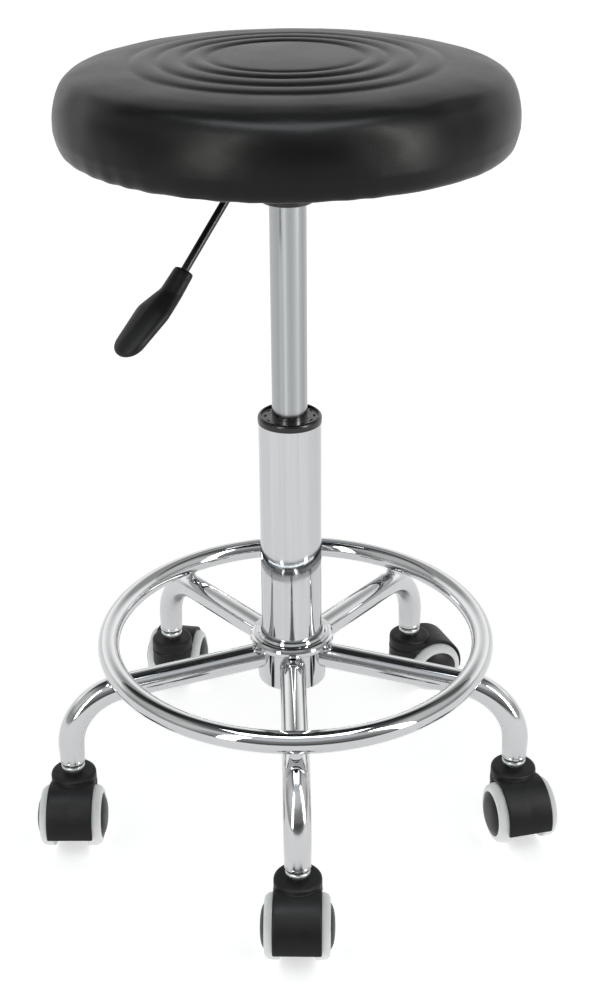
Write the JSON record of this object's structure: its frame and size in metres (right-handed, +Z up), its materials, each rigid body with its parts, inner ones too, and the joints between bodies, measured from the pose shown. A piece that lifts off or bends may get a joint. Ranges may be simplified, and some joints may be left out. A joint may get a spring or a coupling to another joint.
{
  "type": "rolling stool",
  "caption": "Height-adjustable rolling stool with a round padded seat, gas-lift column, foot ring and star base on hooded twin-wheel casters.",
  "frame": {"origin": "on the floor, under the column's axis", "axes": "+Z up along the column, the front leg points to -Y, +X to the right seen from the front"},
  "size_m": [0.4299, 0.4471, 0.6288],
  "materials": {
    "chrome": "mirror plated",
    "bush_plastic": "moulded, faint grain",
    "brushed_steel": "brushed round the axis",
    "zinc_steel": "bright zinc plate",
    "guide_plastic": "plain",
    "black_rubber": "matt",
    "seat_vinyl": "soft satin, fine grain",
    "foam": "open cell",
    "plywood": "sanded",
    "black_paint": "semi-gloss powder coat",
    "handle_plastic": "satin moulded",
    "hood_plastic": "semi-gloss moulded",
    "core_plastic": "satin moulded",
    "tread_rubber": "soft light grey"
  },
  "bodies": {
    "base": {"column_tube": "chrome", "column_bush": "bush_plastic", "bearing_lower_race": "zinc_steel", "hub": "chrome", "leg_1": "chrome", "leg_2": "chrome", "leg_3": "chrome", "leg_4": "chrome", "leg_5": "chrome", "leg_sockets": "chrome", "foot_ring": "chrome", "caster_stems": "zinc_steel"},
    "lift_rod": {"piston_rod": "zinc_steel", "piston": "guide_plastic", "thrust_bearing": "zinc_steel", "rod_clip": "zinc_steel", "rod_bumper": "black_rubber"},
    "seat": {"seat_cover": "seat_vinyl", "seat_foam": "foam", "seat_board": "plywood", "cover_staples": "zinc_steel", "seat_fasteners": "zinc_steel", "seat_plate": "black_paint", "taper_socket": "black_paint", "lever_pivot_pin": "zinc_steel", "gas_cylinder": "brushed_steel", "rod_guide": "guide_plastic"},
    "release_button": {"release_button": "zinc_steel"},
    "lever": {"lever_rod": "black_paint", "lever_handle": "handle_plastic"},
    "caster_1": {"caster_1_hood": "hood_plastic", "caster_1_axle": "zinc_steel"},
    "caster_1_wheel_l": {"caster_1_core_l": "core_plastic", "caster_1_tread_l": "tread_rubber"},
    "caster_1_wheel_r": {"caster_1_core_r": "core_plastic", "caster_1_tread_r": "tread_rubber"},
    "caster_2": {"caster_2_hood": "hood_plastic", "caster_2_axle": "zinc_steel"},
    "caster_2_wheel_l": {"caster_2_core_l": "core_plastic", "caster_2_tread_l": "tread_rubber"},
    "caster_2_wheel_r": {"caster_2_core_r": "core_plastic", "caster_2_tread_r": "tread_rubber"},
    "caster_3": {"caster_3_hood": "hood_plastic", "caster_3_axle": "zinc_steel"},
    "caster_3_wheel_l": {"caster_3_core_l": "core_plastic", "caster_3_tread_l": "tread_rubber"},
    "caster_3_wheel_r": {"caster_3_core_r": "core_plastic", "caster_3_tread_r": "tread_rubber"},
    "caster_4": {"caster_4_hood": "hood_plastic", "caster_4_axle": "zinc_steel"},
    "caster_4_wheel_l": {"caster_4_core_l": "core_plastic", "caster_4_tread_l": "tread_rubber"},
    "caster_4_wheel_r": {"caster_4_core_r": "core_plastic", "caster_4_tread_r": "tread_rubber"},
    "caster_5": {"caster_5_hood": "hood_plastic", "caster_5_axle": "zinc_steel"},
    "caster_5_wheel_l": {"caster_5_core_l": "core_plastic", "caster_5_tread_l": "tread_rubber"},
    "caster_5_wheel_r": {"caster_5_core_r": "core_plastic", "caster_5_tread_r": "tread_rubber"}
  },
  "joints": [
    {"name": "seat_swivel", "type": "hinge", "parent": "base", "child": "lift_rod", "pos_m": [0, 0, 0.123], "axis": [0, 0, 1], "continuous": true},
    {"name": "seat_height", "type": "slide", "parent": "lift_rod", "child": "seat", "axis": [0, 0, 1], "range_m": [-0.14, 0]},
    {"name": "lever_lift", "type": "hinge", "parent": "seat", "child": "lever", "pos_m": [-0.02121, -0.02121, 0.5593], "axis": [-0.7071, 0.7071, 0], "range_deg": [0, 8], "stiffness_Nm_per_rad": 6, "springref_deg": -5.73},
    {"name": "valve_press", "type": "slide", "parent": "seat", "child": "release_button", "axis": [0, 0, -1], "range_m": [0, 0.0045]},
    {"name": "caster_1_swivel", "type": "hinge", "parent": "base", "child": "caster_1", "pos_m": [0.00238, -0.19479, 0.05], "axis": [0, 0, 1], "continuous": true},
    {"name": "caster_1_wheel_l_spin", "type": "hinge", "parent": "caster_1", "child": "caster_1_wheel_l", "pos_m": [0.00178, -0.21378, 0.025], "axis": [0.9995, -0.0314, 0], "continuous": true},
    {"name": "caster_1_wheel_r_spin", "type": "hinge", "parent": "caster_1", "child": "caster_1_wheel_r", "pos_m": [0.00178, -0.21378, 0.025], "axis": [0.9995, -0.0314, 0], "continuous": true},
    {"name": "caster_2_swivel", "type": "hinge", "parent": "base", "child": "caster_2", "pos_m": [0.1838, -0.05654, 0.05], "axis": [0, 0, 1], "continuous": true},
    {"name": "caster_2_wheel_l_spin", "type": "hinge", "parent": "caster_2", "child": "caster_2_wheel_l", "pos_m": [0.1882, -0.07503, 0.025], "axis": [0.9728, 0.2317, 0], "continuous": true},
    {"name": "caster_2_wheel_r_spin", "type": "hinge", "parent": "caster_2", "child": "caster_2_wheel_r", "pos_m": [0.1882, -0.07503, 0.025], "axis": [0.9728, 0.2317, 0], "continuous": true},
    {"name": "caster_3_swivel", "type": "hinge", "parent": "base", "child": "caster_3", "pos_m": [0.11221, 0.15616, 0.05], "axis": [0, 0, 1], "continuous": true},
    {"name": "caster_3_wheel_l_spin", "type": "hinge", "parent": "caster_3", "child": "caster_3_wheel_l", "pos_m": [0.12995, 0.16297, 0.025], "axis": [-0.3584, 0.9336, 0], "continuous": true},
    {"name": "caster_3_wheel_r_spin", "type": "hinge", "parent": "caster_3", "child": "caster_3_wheel_r", "pos_m": [0.12995, 0.16297, 0.025], "axis": [-0.3584, 0.9336, 0], "continuous": true},
    {"name": "caster_4_swivel", "type": "hinge", "parent": "base", "child": "caster_4", "pos_m": [-0.11384, 0.15498, 0.05], "axis": [0, 0, 1], "continuous": true},
    {"name": "caster_4_wheel_l_spin", "type": "hinge", "parent": "caster_4", "child": "caster_4_wheel_l", "pos_m": [-0.11071, 0.17372, 0.025], "axis": [-0.9863, 0.165, 0], "continuous": true},
    {"name": "caster_4_wheel_r_spin", "type": "hinge", "parent": "caster_4", "child": "caster_4_wheel_r", "pos_m": [-0.11071, 0.17372, 0.025], "axis": [-0.9863, 0.165, 0], "continuous": true},
    {"name": "caster_5_swivel", "type": "hinge", "parent": "base", "child": "caster_5", "pos_m": [-0.18313, -0.05669, 0.05], "axis": [0, 0, 1], "continuous": true},
    {"name": "caster_5_wheel_l_spin", "type": "hinge", "parent": "caster_5", "child": "caster_5_wheel_l", "pos_m": [-0.18339, -0.07569, 0.025], "axis": [0.9999, -0.014, 0], "continuous": true},
    {"name": "caster_5_wheel_r_spin", "type": "hinge", "parent": "caster_5", "child": "caster_5_wheel_r", "pos_m": [-0.18339, -0.07569, 0.025], "axis": [0.9999, -0.014, 0], "continuous": true}
  ],
  "couplings": [
    {"joint": "valve_press", "follows": "lever_lift", "m_per_rad": 0.03}
  ]
}
